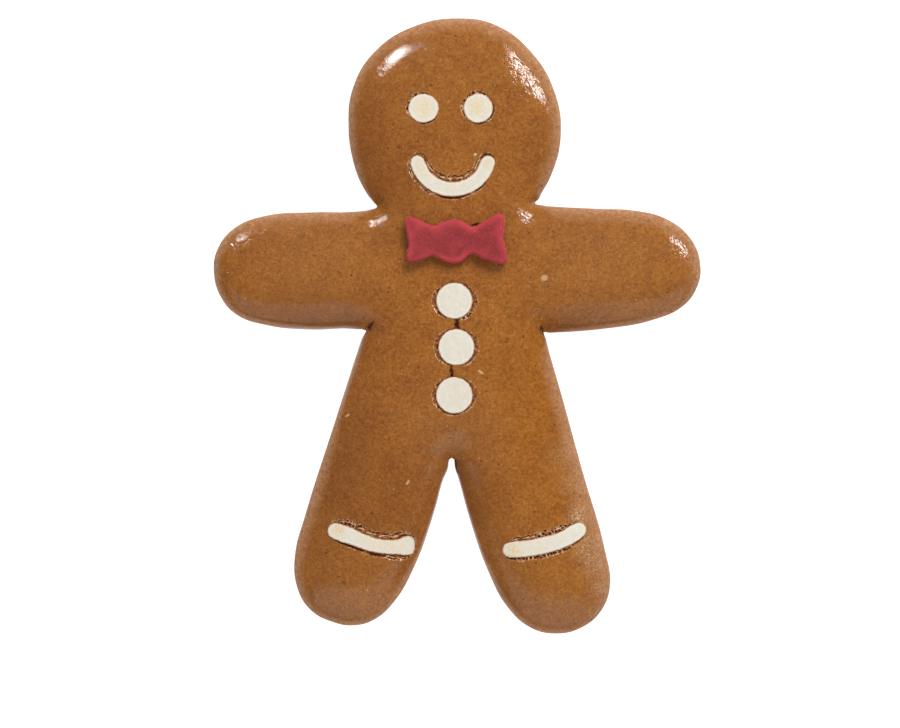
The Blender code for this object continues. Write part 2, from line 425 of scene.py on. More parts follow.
def finish_piece(piece: Piece, node: str, material: Material) -> None:
    """Dresses a finished piece and ties it to the frame.

    Args:
        piece: The finished mesh.
        node: The CAD node that it stands for.
        material: What it is made of.
    """
    piece.data.materials.clear()
    piece.data.materials.append(material)
    pick_only(piece)
    bpy.ops.object.shade_smooth()
    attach(piece, BODY)
    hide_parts(node)
    log.info("%s: %d faces in place of %s", piece.name, len(piece.data.polygons), node)


# ---- materials


def add_node(
    tree: Tree,
    kind: str,
    sockets: dict[int | str, object] | None = None,
    out: int | str = 0,
    **settings: object,
) -> Socket | None:
    """Adds one shader node with its settings, values and links.

    Args:
        tree: The node tree that it goes in.
        kind: Blender's name for the node, without its ShaderNode beginning.
        sockets: For an input's name or number, the value, hex colour or output it takes.
        out: Which of its outputs is wanted.
        **settings: The node's own settings.

    Returns:
        The wanted output, or None for a node that has none.
    """
    node = tree.nodes.new("ShaderNode" + kind)
    for key, value in settings.items():
        setattr(node, key, value)
    for key, value in (sockets or {}).items():
        if isinstance(value, Socket):
            tree.links.new(value, node.inputs[key])
        else:
            node.inputs[key].default_value = linear(value) if isinstance(value, str) else value
    return node.outputs[out] if len(node.outputs) else None


class Blend(Enum):
    """How one colour is laid over another."""

    COVER = "MIX"
    DARKEN = "MULTIPLY"


class Recipe:
    """A material being built: its node tree, and patterns sized in millimetres."""

    def __init__(self, name: str) -> None:
        """Starts an empty material.

        Args:
            name: What the real material is called.
        """
        self.material = bpy.data.materials.new(name)
        self.material.use_nodes = True
        self.material.node_tree.nodes.clear()
        self.add = partial(add_node, self.material.node_tree)
        self.place = self.add("TexCoord", out="Object")

    def clouds(
        self, size: float, low: float, high: float, most: float = 1.0, least: float = 0.0
    ) -> Socket:
        """Soft patches.

        Args:
            size: Distance between one patch and the next.
            low: How dense the cloud is where the patch begins, 0 to 1.
            high: How dense it is where the patch is full.
            most: The value inside a patch.
            least: The value between patches.

        Returns:
            The patches' strength.
        """
        sockets = {"Vector": self.place, "Scale": 1 / (size * MM), "Detail": 3.0}
        cloud = self.add("TexNoise", sockets)
        sockets = {0: cloud, 1: low, 2: high, 3: least, 4: most}
        return self.add("MapRange", sockets, interpolation_type="SMOOTHSTEP")

    def specks(self, size: float, apart: float, rarity: float, most: float) -> Socket:
        """Scattered grains of uneven shape.

        Args:
            size: A grain's greatest width.
            apart: Mean distance between possible grains.
            rarity: Share of those places left empty.
            most: The strength on a grain; it is 0 between them.

        Returns:
            The grains' strength.
        """
        wobble = self.add(
            "TexNoise", {"Vector": self.place, "Scale": 1 / (size * MM), "Detail": 1.0}, out="Color"
        )
        moved = self.add(
            "VectorMath", {0: wobble, 1: (size * MM * 0.9,) * 3, 2: self.place}, operation="MULTIPLY_ADD"
        )
        sockets = {"Vector": moved, "Scale": 1 / (apart * MM)}
        chance = self.add("SeparateColor", {0: self.add("TexVoronoi", sockets, out="Color")})
        reach = self.add("MapRange", {0: chance, 1: rarity, 4: size / 2 / apart})
        gap = self.add("TexVoronoi", sockets, out="Distance")
        inside = self.add("Math", {0: reach, 1: gap}, operation="SUBTRACT")
        return self.add("MapRange", {0: inside, 1: -0.02, 2: 0.02, 4: most})

    def painted(self, name: str, share: object = 1.0) -> Socket:
        """What is painted on the piece's points under a name, times a share."""
        layer = self.add("Attribute", out="Fac", attribute_name=name)
        return self.add("Math", {0: layer, 1: share}, operation="MULTIPLY", use_clamp=True)

    def coats(self, under: object, *coats: tuple[object, ...]) -> Socket:
        """Lays colours over one another in order.

        Args:
            under: The lowest colour.
            *coats: The share of each coat, its colour, and how it is laid if not as a cover.

        Returns:
            The colour that results.
        """
        colour = under
        for share, over, *how in coats:
            blend = (how or [Blend.COVER])[0]
            sockets = {0: share, 6: colour, 7: over}
            colour = self.add("Mix", sockets, 2, data_type="RGBA", blend_type=blend.value)
        return colour

    def relief(self, *layers: tuple[object, float, object]) -> Socket:
        """Stacks fine relief.

        Args:
            *layers: Each one's height from 0 to 1, its depth and its share.

        Returns:
            The bent surface direction.
        """
        sockets: dict[int | str, object] = {}
        for height, depth, share in layers:
            sockets |= {"Height": height, "Distance": depth * MM, "Strength": share}
            sockets = {"Normal": self.add("Bump", sockets)}
        return sockets["Normal"]

    def close(self, sockets: dict[int | str, object]) -> Material:
        """Ends the recipe in one Principled surface with these inputs."""
        self.add("OutputMaterial", {"Surface": self.add("BsdfPrincipled", sockets)})
        return self.material


@dataclass(frozen=True)
class GlazedGingerbread:
    """Spiced honey dough, brown from the oven, its face brushed with a clear starch glaze.

    The glaze gives deep saturated brown and small sharp glints; the cut rim has no glaze,
    so it is paler, pinker and dull, and it is painted wider and paler on its upper and right
    edges as painted light; where the dough tore, open brown crumb shows.
    """

    crust: str = "#9F5F1A"
    crust_dark: str = "#8A4C12"
    crust_pale: str = "#B67730"
    browned_and_shade: str = "#71390B"
    light: str = "#A8703C"
    rim: str = "#B5855F"
    rim_dark: str = "#A06E49"
    crumb: str = "#84471B"
    crumb_pale: str = "#A5662F"
    hollow: str = "#5C290C"
    thread: str = "#E8C89E"
    speck: str = "#4E260C"
    fleck: str = "#D2A878"
    glint_specks: str = "#E3C8A6"

    def make(self) -> Material:
        """Builds the material.

        Returns:
            The material.
        """
        r = Recipe("glazed_gingerbread")
        small = r.specks(0.5, 1.5, 0.3, 0.8)
        # flour and sugar grain of about a third of a millimetre
        grain = r.clouds(0.34, 0.3, 0.7, 1.2, 0.8)
        grey = r.add("CombineColor", {0: grain, 1: grain, 2: grain})
        # the rim has no glaze, its edge ragged at about a millimetre; it is painted wider and paler
        # on its upper and right edges and less pale on lower ones, as painted light
        bare_and_lit = r.painted("bare_and_lit", r.clouds(1.2, 0.2, 0.8, 1.3, 0.7))
        torn = r.painted("torn")
        colour = r.coats(
            self.crust,
            (r.clouds(7.0, 0.35, 0.65, 0.6), self.crust_dark),
            # painted light: paler patches on the feet, the arms, the forehead and the hip
            (r.painted("light"), self.light),
            (r.clouds(2.6, 0.45, 0.7, 0.36), self.crust_pale),
            (r.clouds(1.0, 0.38, 0.74, 0.6), self.crust_pale),
            # painted shade mixed with oven browning: left and lower edges, under the bow tie and arms, in
            # the crotch
            (r.painted("browned_and_shade", 0.5), self.browned_and_shade),
            (r.clouds(0.7, 0.4, 0.75, 0.48), self.browned_and_shade),
            (bare_and_lit, r.coats(self.rim, (r.clouds(0.9, 0.35, 0.7), self.rim_dark))),
            (1.0, grey, Blend.DARKEN),
            # spice: many small dark grains and a few larger soft spots, and pale sugar between
            (small, self.speck),
            (r.specks(1.3, 6.5, 0.3, 0.5), self.speck),
            (r.specks(0.36, 1.9, 0.45, 0.65), self.fleck),
            # pale specks along the right leg that paint the glaze's speckled glints: a painted reflection
            (r.painted("glint_specks", r.clouds(0.38, 0.45, 0.7, 1.0, 0.15)), self.glint_specks),
            # torn dough: crumb, then hollows painted dark, part crumb colour and part painted shade,
            # then pale threads left standing
            (torn, r.coats(self.crumb, (r.clouds(0.5, 0.4, 0.65), self.crumb_pale))),
            (r.painted("hollow"), self.hollow),
            (r.painted("thread"), self.thread),
        )
        glazed = r.painted("glazed")
        # brush strokes in the glaze, along the rim, about a millimetre apart
        strokes = r.add("Attribute", out="Vector", attribute_name="brushed")
        strokes = r.add("TexNoise", {"Vector": strokes, "Scale": 1 / (1.2 * MM), "Detail": 3.5})
        relief = r.relief(
            (strokes, 0.34, r.painted("ripple")),
            (r.clouds(0.9, 0.3, 0.7), 0.045, r.painted("ripple")),
            (r.clouds(1.7, 0.2, 0.8), 0.012, 1.0),
            (r.clouds(0.4, 0.2, 0.8), 0.010, 1.0),
            (small, -0.05, 1.0),
        )
        return r.close({
            "Base Color": colour,
            "Roughness": r.add("MapRange", {0: glazed, 3: 0.75, 4: 0.48}),
            "IOR": 1.45,
            "Specular IOR Level": 0.12,
            "Coat Weight": r.painted("glazed", 0.9),
            "Coat Roughness": 0.075,
            "Coat IOR": 1.5,
            "Sheen Weight": 0.18,
            "Sheen Roughness": 0.5,
            "Sheen Tint": "#FFE9DA",
            "Normal": relief,
            "Coat Normal": relief,
        })


@dataclass(frozen=True)
class SugarPaste:
    """White sugar paste, oven-set in the dough: chalky ivory, toasted yellow where it sat high.

    Its very edge took the brown of the dough.
    """

    body: str = "#DFD8C7"
    whiter: str = "#E8E2D5"
    toasted: str = "#E4C48A"
    stained: str = "#BE8854"

    def make(self) -> Material:
        """Builds the material.

        Returns:
            The material.
        """
        r = Recipe("sugar_paste")
        colour = r.coats(
            self.body,
            (r.clouds(1.4, 0.35, 0.7, 0.6), self.whiter),
            # edges and some patches painted whiter where the paste catches the light: painted light
            (r.painted("whiter"), self.whiter),
            (r.painted("toasted", r.clouds(0.5, 0.35, 0.65, 1.0, 0.25)), self.toasted),
            (r.specks(0.25, 1.6, 0.75, 0.5), self.toasted),
            (r.painted("stained", r.clouds(0.5, 0.3, 0.7, 1.3, 0.7)), self.stained),
        )
        return r.close({
            "Base Color": colour,
            "Roughness": 0.62,
            "Specular IOR Level": 0.3,
            "Normal": r.relief((r.clouds(0.5, 0.2, 0.8), 0.03, 1.0)),
        })


@dataclass(frozen=True)
class PinkFondant:
    """Rolled raspberry fondant: soft dull pink-red, fuzzy pale edges, a few sugar grains."""

    body: str = "#87282C"
    edge: str = "#C03F46"
    grain: str = "#F0CFD0"

    def make(self) -> Material:
        """Builds the material.

        Returns:
            The material.
        """
        r = Recipe("pink_fondant")
        colour = r.coats(
            self.body,
            (r.clouds(3.0, 0.4, 0.7, 0.25), self.edge),
            (r.clouds(0.5, 0.42, 0.7, 0.38), self.edge),
            # painted light: paler edges, palest along the top and on the knot's facet
            (r.painted("edge", r.clouds(0.8, 0.2, 0.8, 1.2, 0.7)), self.edge),
            (r.specks(0.33, 1.5, 0.55, 0.85), self.grain),
        )
        return r.close({
            "Base Color": colour,
            "Roughness": 0.6,
            "Specular IOR Level": 0.2,
            "Subsurface Weight": 0.12,
            "Subsurface Radius": (1.0 * MM, 0.3 * MM, 0.3 * MM),
            "Subsurface Scale": 1.0,
            "Sheen Weight": 0.5,
            "Sheen Roughness": 0.4,
            "Sheen Tint": "#FFB9B9",
            "Normal": r.relief((r.clouds(0.4, 0.2, 0.8), 0.035, 1.0)),
        })


# ---- the dough


class Look(Enum):
    """What shows where the dough came away from the icing.

    SNUG is a closed seam, LACE a thread between two grooves, HOLES open pores,
    MOAT a plain ditch and CRUMB chipped crumb.
    """

    SNUG = 0
    LACE = 1
    HOLES = 2
    MOAT = 3
    CRUMB = 4


@dataclass(frozen=True)
class Tear:
    """A place where the dough pulled away from the icing as it baked.

    Attributes:
        x: Across, on the icing's edge.
        y: Along, on the icing's edge.
        reach: How far along the edge it runs to each side.
        width: How far it opens.
        look: What shows in it.
    """

    x: float
    y: float
    reach: float
    width: float
    look: Look


def tears(look: Look, *rows: tuple[float, float, float, float]) -> tuple[Tear, ...]:
    """The tears of one look, each from its place, reach and width."""
    return tuple(Tear(*row, look) for row in rows)


def torn_patterns(lane: Array, share: Array) -> dict[Look, tuple[Array, Array]]:
    """The pits and the standing threads of torn dough, for each look.

    Args:
        lane: For each point, how far it is along the icing's edge and how far off it.
        share: The second of those as a share of the opening's width.

    Returns:
        How deep each look is pitted at each point, and how much thread stands there.
    """
    middle = 0.52 + 0.25 * waves(lane, 1.7, 35)
    line = ridge(share - middle, 0.12) * ramp(-0.4, 0.2, waves(lane, 1.1, 39))
    cross = 0.8 * (1 - ramp(0.03, 0.13, np.abs(waves(lane, 1.0, 37))))
    line = np.maximum(line, cross * ramp(0.0, 0.4, waves(lane, 0.9, 46)))
    near_side, far_side = ridge(share - middle + 0.34, 0.17), ridge(share - middle - 0.34, 0.17)
    groove = np.maximum(0.75 * near_side, far_side)
    groove *= ramp(-0.5, 0.0, waves(lane * (0.7, 1.0), 0.9, 38))
    near, wall = bubbles(lane + 0.12 * waves(lane, 0.7, 36)[:, None], 0.9, 37)
    shore = ramp(0.0, 0.2, share) * (1 - ramp(0.75, 1.0, share))
    chips = ramp(0.1, 0.55, waves(lane, 0.75, 43))
    return {
        Look.SNUG: (0.25 * shore, 0 * share),
        Look.LACE: (groove * (1 - line), line),
        Look.HOLES: (
            1 - ramp(0.3, 0.46, near),
            (1 - ramp(0.05, 0.2, wall)) * ramp(-0.5, 0.2, waves(lane, 1.5, 44)),
        ),
        Look.MOAT: (shore * ramp(-0.9, -0.2, waves(lane, 0.8, 45)), 0 * share),
        Look.CRUMB: (
            np.maximum(0.85 * chips, 0.45 * (1 - ramp(0.35, 0.75, share))),
            0.5 * ramp(0.35, 0.7, waves(lane, 0.5, 47)),
        ),
    }


@dataclass(frozen=True)
class Crack:
    """A split in the dough between two icings.

    Attributes:
        x: Across, at its middle.
        y: Along, at its middle.
        half_length: Half of its length.
        width: How far it gapes.
    """

    x: float
    y: float
    half_length: float
    width: float


@dataclass(frozen=True)
class Mark:
    """A small oval place on the face: a pale drop or scratch, or a fold painted dark as painted shade.

    Attributes:
        x: Across, at its middle.
        y: Along, at its middle.
        half_length: Half of its longer side.
        half_width: Half of its shorter side.
        lean: The turn of the longer side from straight across, in degrees.
        amount: How strongly it shows.
    """

    x: float
    y: float
    half_length: float
    half_width: float
    lean: float
    amount: float

    def strength(self, places: Array) -> Array:
        """Works out where it shows.

        Args:
            places: Points as rows of x and y.

        Returns:
            How strongly it shows at each point.
        """
        gap = places - (self.x, self.y)
        turn = math.radians(self.lean)
        along = gap @ np.array((math.cos(turn), math.sin(turn))) / self.half_length
        across = gap @ np.array((-math.sin(turn), math.cos(turn))) / self.half_width
        return self.amount * (1 - ramp(0.75, 1.25, np.hypot(along, across)))


Marks = tuple[Mark, ...]


@dataclass
class Dough:
    """The slab of dough: its rolled shoulder, its hollows round the icing and its glaze.

    Attributes:
        icings: What is pressed into it.
        node: The CAD node that it stands for.
        underside: Height at which the outline is widest.
        base_inset: How far the base stands in from the outline.
        side: Height of the upright part of the edge.
        shoulder_width: How far in the edge rounds over.
        shoulder_rise: How high the shoulder climbs above the upright part.
        dome: How much higher the middle stands than the shoulder's end.
        dome_width: How far in from the outline that last climb ends.
        roll: How far in the steep part of the shoulder reaches.
        wall: Thickness of the plain slab that is shaped into the dough.
        grain: Size of the plain slab's faces.
        rim_width: Width of the unglazed rim.
        tear_floor: Depth of a tear's floor.
        pit_depth: How much deeper its pits are.
        strand_rise: How far its threads stand above the floor.
        lip_rise: How high the lip beside a tear stands.
        crack_depth: Depth of the cracks.
        fold_depth: Depth of the folds.
        cracks: Splits between the icings.
        notches: Sharp inner corners: neck, armpits and crotch.
        spreads: Where the edge bulged out, or drew in where negative.
        pinch: Where the shoulder is narrow.
        leans: Where the face tips, and its slope across and along.
        firm: Where the shoulder is squarer.
        bare_more: Where the unglazed rim is wider, or narrower where negative; the narrowing at the
        notches, under the arms and inside the legs is painted shade.
        rippled: Where brush strokes show in the glaze.
        darker: Spots of deeper brown, some from the oven, the rest painted shade under the
        bow tie and the arms, in the crotch and on the left side.
        lighter: Paler spots of painted light on the feet, the arms, the forehead and the hip.
        dull: Where the glaze is thin.
        glint_specks: Where pale specks paint a speckled reflection in the glaze.
        gaps: Folds at the notches and a gap under the bow tie's wing, carved and painted dark as
        painted shade.
        marks: Pale drops and scratches.
    """

    icings: list["Icing"]
    node: str = "gingerbread"
    underside: float = 3.2
    base_inset: float = 1.6
    side: float = 0.8
    shoulder_width: float = 12.0
    shoulder_rise: float = 4.75
    dome: float = 0.35
    dome_width: float = 20.0
    roll: float = 1.2
    wall: float = 4.0
    grain: float = 0.48
    rim_width: float = 2.65
    tear_floor: float = 0.12
    pit_depth: float = 0.34
    strand_rise: float = 0.08
    lip_rise: float = 0.07
    crack_depth: float = 1.3
    fold_depth: float = 0.8
    cracks: tuple[Crack, ...] = each(Crack, (-0.1, 0.45, 1.3, 1.35), (-1.4, -11, 1.4, 0.9))
    notches: Pairs = (
        (-19.24, 29.1), (18.75, 29.75), (-22.05, -1.13), (20.8, -1.4), (-1.95, -32.6), (-0.7, -31.75),
    )
    spreads: Spots = each(
        Spot,
        (19.3, 31, 0.9, 0.38), (21, -2.3, 1.1, 0.38), (-22.7, -2.1, 0.8, 0.2), (-2.5, -34.6, 1.8, 0.3),
        (-0.8, -33.2, 0.9, -0.2),
    )
    pinch: Pairs = ((-18.9, 29.1), (18.7, 29.5), (-20.7, 0.4), (21, -1), (-1.3, -32.2))
    leans: tuple[tuple[float, float, float, float], ...] = (
        (-19.1, 25.8, 0.05, 0.02), (17.35, 26.75, -0.14, 0.1),
    )
    firm: Spots = each(Spot, (-50, 15, 13, 1.5), (53, 14, 13, 1.5), (10, 71, 5, 0.7), (24, 52, 6, 0.9))
    # the negative spots at the notches, under the arms and inside the legs are painted shade
    bare_more: Spots = each(
        Spot,
        (-33, -42, 14, 1.2), (31, -45, 16, 0.5), (-26, -12, 11, -2.2), (-9, -46, 12, -2.6),
        (9, -46, 12, -2.6), (-25, 0, 6, -0.8), (25, 0, 6, -0.8), (-37, 0, 7, -1.3), (37, -1, 7, -1),
        (-20.5, 28.5, 3.5, -3), (19.5, 29, 3, -2.5), (-22, -1, 4, -3), (21, -1, 4, -3),
        (-1, -33, 4, -3),
    )
    rippled: Spots = each(
        Spot,
        (16, 60, 8, 0.55), (54, 20, 7, 0.45), (-53, 20, 6, 0.6), (-18.8, 62.4, 1.5, 0.5),
        (-19.1, 25.8, 1.8, 0.8), (17.4, 26.8, 1.8, 0.55),
    )
    # deeper brown spots, most of them painted shade: under the bow tie, under the arms, in the crotch, on
    # the left
    darker: Spots = each(
        Spot,
        (-22, -40, 12, 0.8), (-18, 40, 10, 0.5), (5, 50, 14, 0.1), (19, 45, 8, 0.2), (-38, 2, 8, 0.32),
        (-32, -0.5, 5, 0.35), (-25, -0.5, 3, 0.6), (-44, 1, 6, 0.15), (32, -1.5, 5, 0.35),
        (25, -1, 3, 0.5), (45, 1, 6, 0.15), (1.5, -36, 2.5, 0.7), (4, -44, 4, 0.4),
        (-5.4, 16, 2.2, 0.8), (5.6, 16, 2.2, 0.8), (-0.5, 14.6, 2.5, 0.5), (-13.4, 21, 2.6, 0.6),
        (13.2, 21, 1.8, 0.3),
    )
    # painted light: paler spots on the feet, the arms, the forehead and the hip
    lighter: Spots = each(
        Spot,
        (-27, -68, 8, 0.35), (25, -71, 8, 0.45), (-36, 16, 10, 0.4), (36, 16, 12, 0.4),
        (-5, 66, 8, 0.15), (-1, -26, 7, 0.5),
    )
    dull: Spots = each(
        Spot,
        (20, -8, 10, 0.95), (24, -25, 10, 0.9), (30, -42, 10, 0.8), (34, -58, 8, 0.8),
        (-18.5, 33.5, 3, 0.8), (17.5, 34, 2.5, 0.6), (-5.4, 15.6, 1.6, 0.9), (5.6, 15.6, 1.6, 0.9),
        (-0.5, 14.4, 1.8, 0.7), (20.9, 53, 1.8, 0.9), (11.6, 67.2, 1.9, 0.9), (-50.6, 22.8, 1.6, 0.9),
        (49.6, 23.6, 1.7, 1), (-21.5, -0.5, 2, 0.9), (21, -0.5, 2, 0.9), (-1.2, -31.5, 1.8, 0.9),
        (-18.8, 29, 1.6, 0.9), (19, 29.5, 1.6, 0.9),
    )
    # pale specks along the right leg, painted as a speckled reflection in the glaze
    glint_specks: Spots = each(
        Spot,
        (26, -31, 2.6, 0.25), (27.8, -38.5, 2.2, 0.3), (29.3, -44, 1.5, 0.35), (29.3, -47, 1.5, 0.85),
        (31.2, -53.5, 2.2, 0.6), (32.8, -58.5, 1.8, 0.45), (34.2, -63.5, 1.4, 0.45),
    )
    # creases at the notches and under the bow tie's wing, painted dark: painted shade
    gaps: Marks = each(
        Mark,
        (4.65, 24.5, 1.1, 0.4, 12, 0.9), (-21.6, -0.5, 2, 0.4, 51, 0.95),
        (20.75, -1.1, 1.2, 0.28, 107, 0.9), (-19.25, 29.05, 0.8, 0.4, -45, 0.85),
        (18.45, 29.5, 0.6, 0.32, 30, 0.8), (-0.4, -33.8, 2.6, 0.4, -80, 0.8),
    )
    marks: Marks = each(
        Mark,
        (21.2, 11.7, 0.8, 0.75, 0, 0.45), (4.4, 41.7, 0.35, 0.3, 0, 0.9),
        (5.7, -11.2, 0.8, 0.25, -35, 0.6), (-12, -38.1, 0.7, 0.25, 60, 0.55),
        (-26.7, -21.8, 0.6, 0.22, 30, 0.6),
    )

    def __post_init__(self) -> None:
        """Reads the outline from the frame."""
        self.outline = node_outline(self.node, 0.2, self.notches)

    def shoulder(self, places: Array, inset: Array) -> Array:
        """Height of the smooth face above the base, before any relief.

        Args:
            places: Points as rows of x and y.
            inset: Their distance inside the outline.

        Returns:
            The heights.
        """
        width = np.full(len(places), self.shoulder_width)
        narrower, reach = 5.0, 5.0
        for x, y in self.pinch:
            width -= narrower * hump(places, x, y, reach)
        square = 2.0 + spotted(places, self.firm)
        left = np.clip(1 - inset / width, 0, 1)
        arch = (1 - left**square) ** (1 / square)
        crown = 1 - np.clip(1 - inset / self.dome_width, 0, 1) ** 2
        return self.underside + self.side + self.shoulder_rise * arch + self.dome * crown

    def swell(self, places: Array, inset: Array) -> Array:
        """Works out the slow unevenness of the face, none at the very edge.

        Args:
            places: Points as rows of x and y.
            inset: Their distance inside the outline.

        Returns:
            The heights to add.
        """
        slow = uneven(places, (0.09, 19.0, 3), (0.03, 7.0, 8), (0.008, 2.2, 9)) * ramp(0.0, 5.0, inset)
        reach = 3.4
        for x, y, slope_x, slope_y in self.leans:
            rise = (places - (x, y)) @ np.array((slope_x, slope_y))
            slow += rise * hump(places, x, y, reach) * ramp(0.0, 2.0, inset)
        return slow

    def level(self, places: Array) -> Array:
        """Height of the finished face without its tears, for what lies on it.

        Args:
            places: Points as rows of x and y.

        Returns:
            The heights.
        """
        inset = self.outline.foot(places).inset
        return self.shoulder(places, inset) + self.swell(places, inset)

    def build(self, material: Material) -> None:
        """Shapes, tears and glazes the dough.

        Args:
            material: What it is made of.
        """
        slab = raise_slab("dough", self.outline, self.wall, self.grain)
        self._flatten_base(slab)
        # faces are divided twice, the second time closer to the tears
        for reach_out, reach_in in ((0.75, 0.45), (0.35, 0.2)):
            middles = places_of(slab.data.polygons, "center")
            near = np.zeros(len(middles), bool)
            for icing in self.icings:
                gap = icing.gap(middles[:, :2])
                width = np.zeros(len(gap))
                beside = gap < BESIDE
                width[beside] = icing.opening(middles[beside, :2])[0]
                near |= (gap < width + reach_out) & (gap > -reach_in)
            for fine in (*self.cracks, *self.marks):
                near |= self._beside(middles, fine)
            near &= middles[:, 2] > self.wall - 0.2
            for fold in self.gaps:
                near |= self._beside(middles, fold) & (middles[:, 2] > 0.35 * self.wall)
            edit_faces(slab, near, bpy.ops.mesh.subdivide, number_cuts=1)
        self._shape(slab)
        finish_piece(slab, self.node, material)

    @staticmethod
    def _beside(middles: Array, thing: Crack | Mark) -> Array:
        """Picks the places within about a millimetre and a half of a crack or mark."""
        return hump(middles[:, :2], thing.x, thing.y, 1.2) > 0.4

    def _flatten_base(self, slab: Piece) -> None:
        """Makes one flat face of the slab's even underside, all but its rim.

        Args:
            slab: The plain slab.
        """
        rim = 1.5
        middles = places_of(slab.data.polygons, "center")
        chosen = (middles[:, 2] < 0.1) & (self.outline.foot(middles[:, :2]).inset > rim)
        edit_faces(slab, chosen, bpy.ops.mesh.dissolve_faces)

    def _shape(self, slab: Piece) -> None:
        """Rolls the plain slab's edge over and carves its face.

        Args:
            slab: The plain slab.
        """
        plain = places_of(slab.data.vertices, "co")
        across, height = plain[:, :2], plain[:, 2]
        foot = self.outline.foot(across)
        depth = np.maximum(foot.inset, 0.0)
        spread = spotted(foot.spot, self.spreads) * (1 - ramp(0.0, 3.0, depth))
        for notch in self.notches:
            off = np.linalg.norm(across - notch, axis=1) + np.where(depth < 0.2, 0.0, 9.0)
            corner = off < off.min() + 0.45 * self.grain
            foot.spot[corner] = notch
            spread[corner] = 0.0
        to_top, to_base = self.wall - height, height
        on_wall = (depth < to_top) & (depth < to_base)
        on_top = ~on_wall & (to_top < to_base)
        # the top keeps its grid, eased off the steep edge
        eased = 8.0
        inset = depth + self.roll * np.clip(1 - depth / eased, 0, None) ** 2
        # the base shrinks in under the round
        inset = np.where(on_top, inset, self.base_inset + depth)
        # the wall climbs round from the base to the shoulder
        climb = np.clip(height / self.wall, 0, 1)
        # shares of the wall that go to the round below and to the shoulder above
        lower, higher = 0.45, 0.55
        under = np.clip(climb / lower, 0, 1) * math.pi / 2
        over = np.clip((climb - higher) / lower, 0, 1)
        wall_inset = self.base_inset * (1 - np.sin(under)) + self.roll * over**2
        inset = np.where(on_wall, wall_inset, inset)
        toward = (across - foot.spot) / np.maximum(depth, 0.01)[:, None]
        inward = np.where((depth > 0.2)[:, None], toward, -foot.outward)
        place = foot.spot + inward * inset[:, None] + foot.outward * spread[:, None]
        face = self.shoulder(place, inset)
        low = self.underside * (1 - np.cos(under)) + self.side * ramp(lower, higher, climb)
        wall_height = np.where(climb > higher, face, low)
        new_height = np.where(on_top, face, np.where(on_wall, wall_height, 0.0))
        upper = on_top | (on_wall & (climb > higher))
        new_height = np.where(upper, new_height + self.swell(place, inset), new_height)
        carved = self._carve(place, upper)
        # the folds are carved a little and painted dark, which is painted shade
        fold = np.max([gap.strength(place) for gap in self.gaps], axis=0) * (climb > 0.3)
        carved["hollow"] = np.maximum(carved["hollow"], fold)
        sunk = self.fold_depth * fold * np.where(upper, ramp(0.0, 0.4, inset), 0.0)
        new_height += carved["height"] - sunk
        set_positions(slab, np.column_stack((place, new_height)))
        self._glaze(slab, foot, place, inset, upper, carved)

    def _glaze(
        self, slab: Piece, foot: Foot, place: Array, inset: Array, upper: Array, carved: dict[str, Array]
    ) -> None:
        """Paints what the oven and the glazing brush left on the dough.

        Args:
            slab: The shaped dough.
            foot: How its points stood against the outline.
            place: Where they are now, as rows of x and y.
            inset: How far in from the outline each is.
            upper: True on the face.
            carved: The masks of its torn places.
        """
        nx, ny = foot.outward.T
        # the pale rim is painted wider on edges facing right and up, narrower facing left and down: painted
        # light
        reach = self.rim_width + 0.6 * nx + 0.7 * ny + spotted(place, self.bare_more)
        open_rim = ramp(-0.3, 1.2, reach)
        reach = np.maximum(reach, 0.4) * (1 + 0.12 * waves(place, 3.0, 21))
        cover = np.where(upper, open_rim * np.clip(1.12 - inset / reach, 0, 1), 1.0)
        # lower edges keep less of the pale rim: painted shade
        bare_and_lit = cover * np.clip(1 + 0.25 * ny, 0.7, 1)
        # the oven browns the face most just inside its edge; the extra brown on slopes
        # facing left and down is painted shade
        browning_and_shade = ridge(inset - 4.5, 5.5) * (0.3 - 0.15 * nx - 0.1 * ny)
        # the spots add painted shade under the bow tie, under the arms and in the crotch
        browning_and_shade += spotted(place, self.darker) + 0.12 * waves(place, 9.0, 23)
        dull = np.clip(spotted(place, self.dull), 0, 1)
        # pale specks that paint a speckled reflection
        glint_specks = np.clip(spotted(place, self.glint_specks), 0, 1)
        thread = carved["thread"]
        for mark in self.marks:
            thread = np.maximum(thread, upper * mark.strength(place))
        glazed = (1 - cover) * (1 - carved["torn"]) * (1 - dull) * (1 - glint_specks)
        masks = {
            "torn": carved["torn"],
            "hollow": carved["hollow"],
            "thread": thread,
            "bare_and_lit": bare_and_lit,
            # oven browning with painted shade mixed in; the sides and base get a fixed share
            "browned_and_shade": np.where(upper, np.clip(browning_and_shade, 0, 1), 0.35),
            # painted light on the feet, the arms, the forehead and the hip
            "light": upper * np.clip(spotted(place, self.lighter), 0, 1),
            "glint_specks": upper * glint_specks,
            "glazed": upper * glazed,
            "ripple": np.clip(spotted(place, self.rippled) - 0.03, 0, 1),
        }
        for name, values in masks.items():
            paint(slab, name, values)
        # the brush ran along the rim, so its strokes are twice as long that way
        brushed = np.column_stack((foot.along / 2, inset, np.zeros(len(inset)))) * MM
        layer = slab.data.attributes.new("brushed", "FLOAT_VECTOR", "POINT")
        layer.data.foreach_set("vector", brushed.astype(np.float32).ravel())

    def _carve(self, places: Array, upper: Array) -> dict[str, Array]:
        """Works out the hollows under and round the icings.

        Args:
            places: Points as rows of x and y.
            upper: True on the face.

        Returns:
            The change in height, and the masks that the material reads.
        """
        height = np.zeros(len(places))
        torn, hollow, thread = np.zeros((3, len(places)))
        for icing in self.icings:
            gap = icing.gap(places)
            close = np.flatnonzero(upper & (gap < BESIDE))
            here = places[close]
            side = gap[close]
